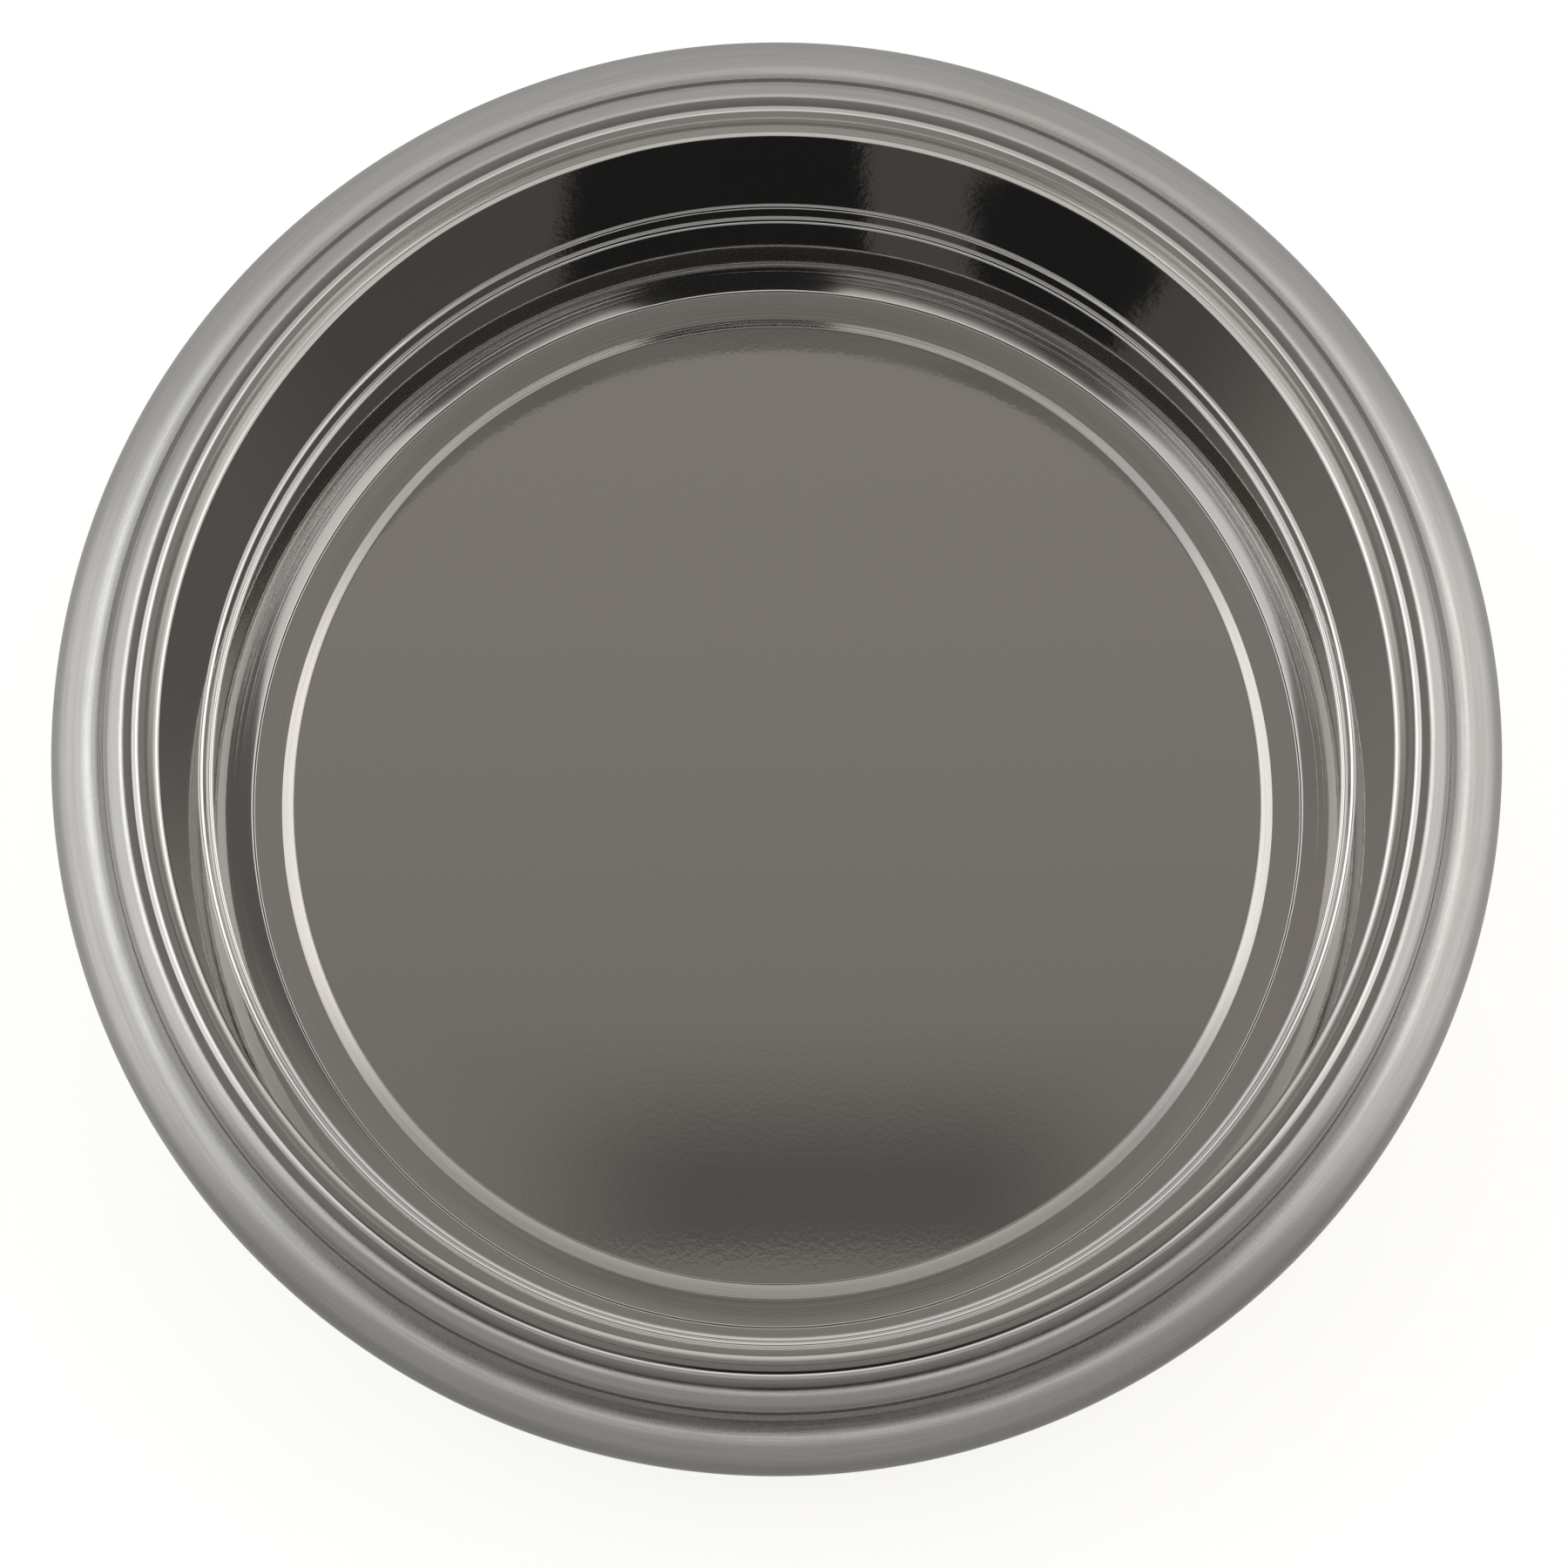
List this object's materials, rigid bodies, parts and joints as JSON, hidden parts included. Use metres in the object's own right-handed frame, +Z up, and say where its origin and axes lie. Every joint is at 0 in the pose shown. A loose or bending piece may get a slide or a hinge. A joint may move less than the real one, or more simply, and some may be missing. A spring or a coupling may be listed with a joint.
{
  "type": "parts dish",
  "caption": "Round double-walled steel parts dish with a stepped polished bowl, a satin outer shell, a magnet under the floor and a rubber foot ring.",
  "frame": {"origin": "centre of the surface the dish stands on, on the dish's axis", "axes": "+Z up along the dish's axis, out of its mouth; the dish is round, and X and Y run through its base screws"},
  "size_m": [0.15, 0.15, 0.065],
  "materials": {
    "polished_steel": "mirror polished stainless, fine spun lines near the floor",
    "satin_steel": "satin stainless with a fine radial grain",
    "base_steel": "dull cold-rolled stainless",
    "plated_steel": "bright zinc plated",
    "ferrite": "matt ceramic magnet",
    "bush_plastic": "moulded black plastic",
    "pad_rubber": "thin black rubber sheet",
    "foot_rubber": "matt black rubber"
  },
  "bodies": {
    "root": {"inner_dish": "polished_steel", "outer_shell": "satin_steel", "magnet_pad": "pad_rubber", "ring_magnet": "ferrite", "magnet_pot": "plated_steel", "centring_bush": "bush_plastic", "weld_stud": "plated_steel", "spring_washer": "plated_steel", "stud_nut": "plated_steel", "weld_nuts": "plated_steel", "base_screws": "plated_steel", "base_plate": "base_steel", "foot_ring": "foot_rubber"}
  },
  "joints": []
}
